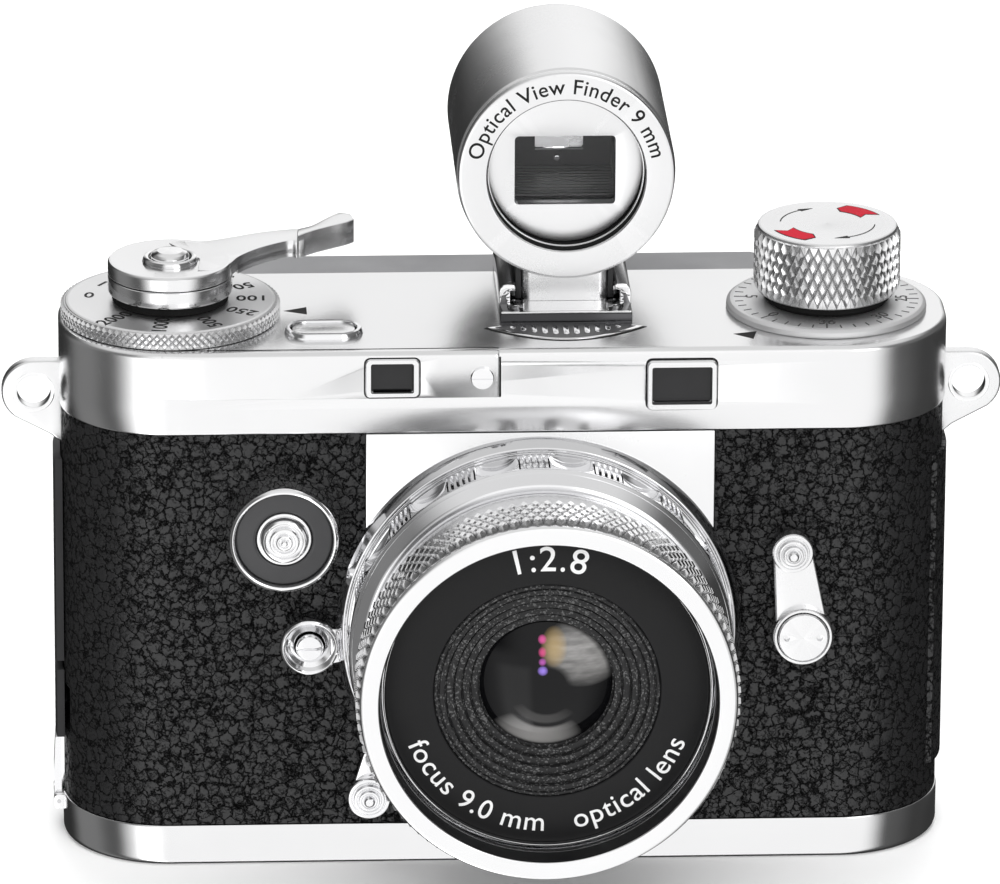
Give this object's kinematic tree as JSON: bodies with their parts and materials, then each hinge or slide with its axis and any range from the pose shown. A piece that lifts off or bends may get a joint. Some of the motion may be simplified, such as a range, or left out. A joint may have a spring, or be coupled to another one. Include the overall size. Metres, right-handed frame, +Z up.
{
  "type": "subminiature camera",
  "caption": "Miniature digital camera in classic rangefinder form: knurled dials and winding lever on a satin chrome top, ringed lens, leather-grain body and slide-on optical finder.",
  "frame": {"origin": "centre of the base plate's underside", "axes": "+X to the viewer's right when the lens faces the viewer, +Y from the lens towards the back, +Z up"},
  "size_m": [0.0742, 0.0415, 0.0592],
  "materials": {
    "satin_chrome": "satin",
    "bright_chrome": "polished",
    "satin_alloy": "fine satin",
    "grey_satin": "satin",
    "black_leatherette": "grained",
    "black_rubber": "matte",
    "black_paint": "matte",
    "black_metal": "anodised",
    "black_plastic": "matte",
    "coated_glass": "coated",
    "dark_glass": "tinted",
    "board_green": "solder mask",
    "battery_wrap": "wrapped",
    "steel": "turned"
  },
  "bodies": {
    "camera_body": {"accessory_shoe": "bright_chrome", "back_housing": "grey_satin", "base_plate": "satin_chrome", "battery": "battery_wrap", "body_casing": "black_metal", "card_slot": "steel", "circuit_boards": "board_green", "display_module": "black_plastic", "display_window": "dark_glass", "finder_tunnel": "black_plastic", "flash_socket_contact": "bright_chrome", "flash_socket_insulator": "black_plastic", "flash_socket_shell": "bright_chrome", "front_plate": "satin_chrome", "hinge_pins": "steel", "image_sensor": "dark_glass", "leather_wrap": "black_leatherette", "lens_base": "black_metal", "lever_collar": "satin_chrome", "memory_card": "black_plastic", "release_guard": "bright_chrome", "selector_pivot_cap": "satin_chrome", "shutter_switch": "black_plastic", "slotted_screws": "bright_chrome", "strap_lugs": "satin_chrome", "top_cover": "satin_chrome", "usb_socket": "steel", "window_frames": "satin_chrome", "window_glasses": "dark_glass"},
    "speed_dial": {"speed_dial": "satin_chrome"},
    "advance_lever": {"advance_lever": "satin_chrome"},
    "shutter_button": {"shutter_button": "bright_chrome"},
    "power_button": {"power_button": "satin_chrome"},
    "rewind_knob": {"rewind_knob": "bright_chrome"},
    "frame_dial": {"frame_dial": "satin_chrome"},
    "focus_ring": {"focus_ring": "bright_chrome"},
    "lens_cell": {"lens_barrel": "satin_alloy", "name_ring": "black_paint", "lens_baffle": "black_paint", "front_element": "coated_glass", "rear_elements": "coated_glass"},
    "aperture_ring": {"aperture_ring": "bright_chrome", "front_bezel": "bright_chrome"},
    "selector_lever": {"selector_lever": "satin_chrome"},
    "rewind_release_lever": {"rewind_release_lever": "satin_chrome"},
    "release_button": {"release_button": "bright_chrome"},
    "card_door": {"card_door": "black_rubber"},
    "usb_cover": {"usb_cover": "black_rubber"},
    "base_latch": {"base_latch": "bright_chrome"},
    "battery_door": {"battery_door": "satin_chrome"},
    "clip_on_finder": {"finder_barrel": "satin_alloy", "finder_face_ring": "satin_alloy", "finder_mask": "satin_alloy", "finder_lenses": "coated_glass", "finder_baffle": "black_plastic", "finder_eyecup": "black_plastic"},
    "key_1": {"key_1": "black_plastic"},
    "key_2": {"key_2": "black_plastic"},
    "key_3": {"key_3": "black_plastic"},
    "key_4": {"key_4": "black_plastic"}
  },
  "joints": [
    {"name": "speed_dial_turn", "type": "hinge", "parent": "camera_body", "child": "speed_dial", "pos_m": [-0.0246, -0.0006, 0.0413], "axis": [0, 0, 1], "range_deg": [-150, 150]},
    {"name": "advance_lever_swing", "type": "hinge", "parent": "camera_body", "child": "advance_lever", "pos_m": [-0.0246, -0.0006, 0.0443], "axis": [0, 0, 1], "range_deg": [0, 120], "stiffness_Nm_per_rad": 0.0008, "springref_deg": -20.05},
    {"name": "shutter_press", "type": "slide", "parent": "camera_body", "child": "shutter_button", "axis": [0, 0, -1], "range_m": [0, 0.0006], "stiffness_N_per_m": 400, "springref_m": -0.0003},
    {"name": "power_press", "type": "slide", "parent": "camera_body", "child": "power_button", "axis": [0, 0, -1], "range_m": [0, 0.00035], "stiffness_N_per_m": 400, "springref_m": -0.0003},
    {"name": "rewind_knob_turn", "type": "hinge", "parent": "camera_body", "child": "rewind_knob", "pos_m": [0.02405, -0.0001, 0.0445], "axis": [0, 0, 1], "continuous": true},
    {"name": "frame_dial_turn", "type": "hinge", "parent": "camera_body", "child": "frame_dial", "pos_m": [0.02405, -0.0001, 0.0409], "axis": [0, 0, 1], "continuous": true},
    {"name": "focus_turn", "type": "hinge", "parent": "camera_body", "child": "focus_ring", "pos_m": [0.00235, -0.0125, 0.0187], "axis": [0, -1, 0], "range_deg": [0, 90]},
    {"name": "focus_travel", "type": "slide", "parent": "camera_body", "child": "lens_cell", "axis": [0, -1, 0], "range_m": [0, 0.0009]},
    {"name": "aperture_turn", "type": "hinge", "parent": "lens_cell", "child": "aperture_ring", "pos_m": [0.00235, -0.0222, 0.0187], "axis": [0, -1, 0], "range_deg": [-35, 35]},
    {"name": "selector_swing", "type": "hinge", "parent": "camera_body", "child": "selector_lever", "pos_m": [0.0219, -0.0097, 0.0183], "axis": [0, -1, 0], "range_deg": [-20, 20], "stiffness_Nm_per_rad": 0.0015},
    {"name": "rewind_release_swing", "type": "hinge", "parent": "camera_body", "child": "rewind_release_lever", "pos_m": [-0.0099, -0.0095, 0.00872], "axis": [0, -1, 0], "range_deg": [-25, 10]},
    {"name": "release_press", "type": "slide", "parent": "camera_body", "child": "release_button", "axis": [0, 1, 0], "range_m": [0, 0.0005], "stiffness_N_per_m": 400, "springref_m": -0.0003},
    {"name": "card_door_swing", "type": "hinge", "parent": "camera_body", "child": "card_door", "pos_m": [-0.03194, 0.0059, 0.022], "axis": [0, 0, -1], "range_deg": [0, 100]},
    {"name": "usb_cover_swing", "type": "hinge", "parent": "camera_body", "child": "usb_cover", "pos_m": [-0.03194, 0.0059, 0.0106], "axis": [0, 0, -1], "range_deg": [0, 100]},
    {"name": "base_latch_flip", "type": "hinge", "parent": "camera_body", "child": "base_latch", "pos_m": [-0.0332, 0, 0.00235], "axis": [0, -1, 0], "range_deg": [0, 75]},
    {"name": "battery_door_swing", "type": "hinge", "parent": "camera_body", "child": "battery_door", "pos_m": [0.0219, 0.0055, 0.0005], "axis": [1, 0, 0], "range_deg": [0, 95]},
    {"name": "finder_slide", "type": "slide", "parent": "camera_body", "child": "clip_on_finder", "axis": [0, 1, 0], "range_m": [0, 0.012]},
    {"name": "key_1_press", "type": "slide", "parent": "camera_body", "child": "key_1", "axis": [0, -1, 0], "range_m": [0, 0.00035], "stiffness_N_per_m": 400, "springref_m": -0.0003},
    {"name": "key_2_press", "type": "slide", "parent": "camera_body", "child": "key_2", "axis": [0, -1, 0], "range_m": [0, 0.00035], "stiffness_N_per_m": 400, "springref_m": -0.0003},
    {"name": "key_3_press", "type": "slide", "parent": "camera_body", "child": "key_3", "axis": [0, -1, 0], "range_m": [0, 0.00035], "stiffness_N_per_m": 400, "springref_m": -0.0003},
    {"name": "key_4_press", "type": "slide", "parent": "camera_body", "child": "key_4", "axis": [0, -1, 0], "range_m": [0, 0.00035], "stiffness_N_per_m": 400, "springref_m": -0.0003}
  ],
  "couplings": [
    {"joint": "focus_travel", "follows": "focus_turn", "m_per_rad": 0.0005}
  ]
}
